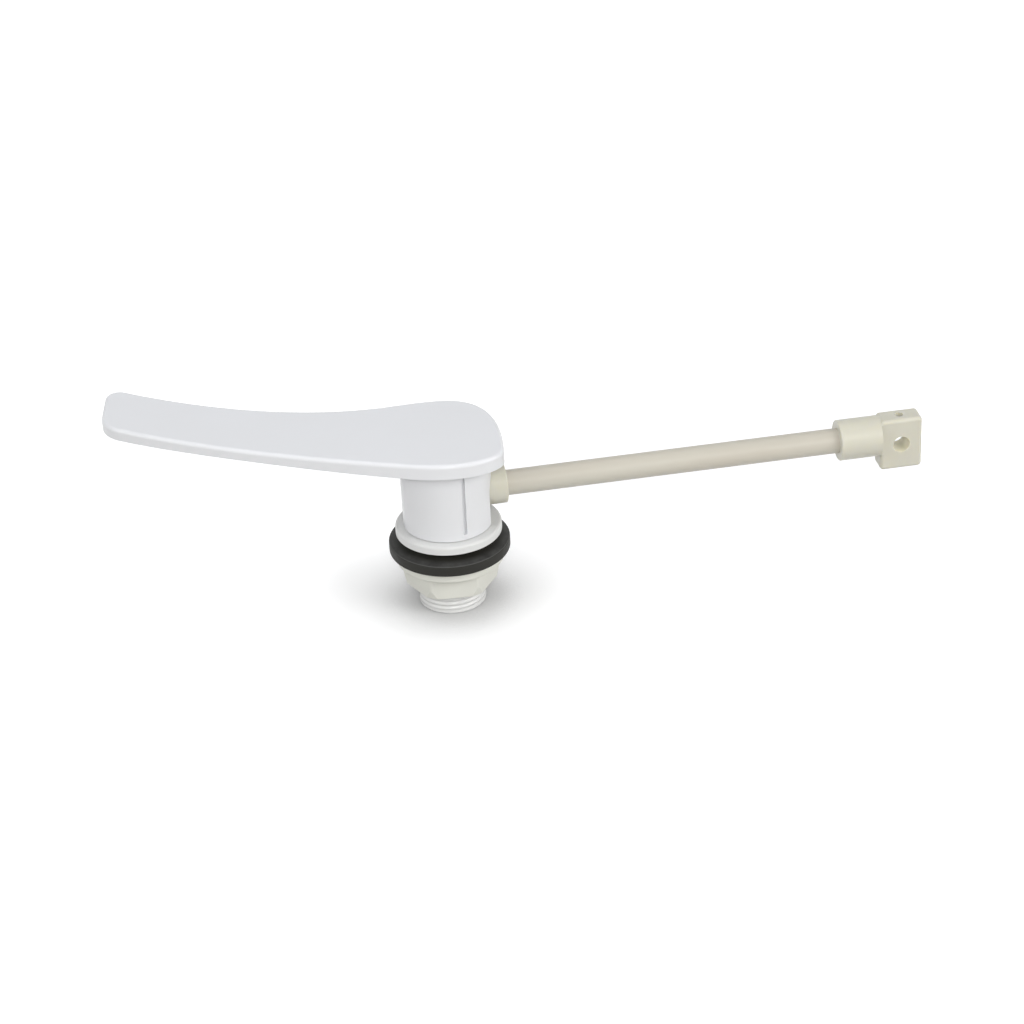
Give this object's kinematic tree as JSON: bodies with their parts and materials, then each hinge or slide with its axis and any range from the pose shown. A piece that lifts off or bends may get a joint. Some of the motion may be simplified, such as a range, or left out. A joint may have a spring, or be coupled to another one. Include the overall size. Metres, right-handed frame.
{
  "type": "cistern lever",
  "caption": "Cistern flush lever: a flat swept handle on a hub turning in a flanged threaded bush with tapered washer and backnut, and a round side arm ending in a drilled link eye.",
  "frame": {"origin": "centre of the bush's free threaded end", "axes": "+Z along the spindle from the threaded end to the blade, +X along the arm's side, blade to -X; installed on an upright wall, +Y points down"},
  "size_m": [0.2444, 0.0575, 0.0545],
  "materials": {
    "white_plastic": "smooth white moulding, soft gloss",
    "bush_plastic": "white moulding a shade warmer than the handle, soft gloss",
    "cream_plastic": "natural cream moulding, satin",
    "nut_plastic": "pale cream moulding, satin",
    "beige_plastic": "drawn beige rod, satin",
    "black_rubber": "matt black rubber",
    "steel": "plated steel"
  },
  "bodies": {
    "mount": {"mounting_bush": "bush_plastic"},
    "lever": {"handle": "white_plastic", "spindle": "cream_plastic", "arm_rod": "beige_plastic", "link_eye": "cream_plastic", "retaining_washer": "steel", "retaining_screw": "steel"},
    "seal": {"tapered_washer": "black_rubber"},
    "nut": {"backnut": "nut_plastic"}
  },
  "joints": [
    {"name": "lever_turn", "type": "hinge", "parent": "mount", "child": "lever", "pos_m": [0, 0, 0.0263], "axis": [0, 0, -1], "range_deg": [0, 35]},
    {"name": "washer_travel", "type": "slide", "parent": "mount", "child": "seal", "axis": [0, 0, -1], "range_m": [0, 0.00705]},
    {"name": "backnut_turn", "type": "hinge", "parent": "seal", "child": "nut", "pos_m": [0, 0, 0.0123], "axis": [0, 0, -1], "range_deg": [0, 1692]}
  ],
  "couplings": [
    {"joint": "washer_travel", "follows": "backnut_turn", "m_per_rad": 0.00023873}
  ]
}
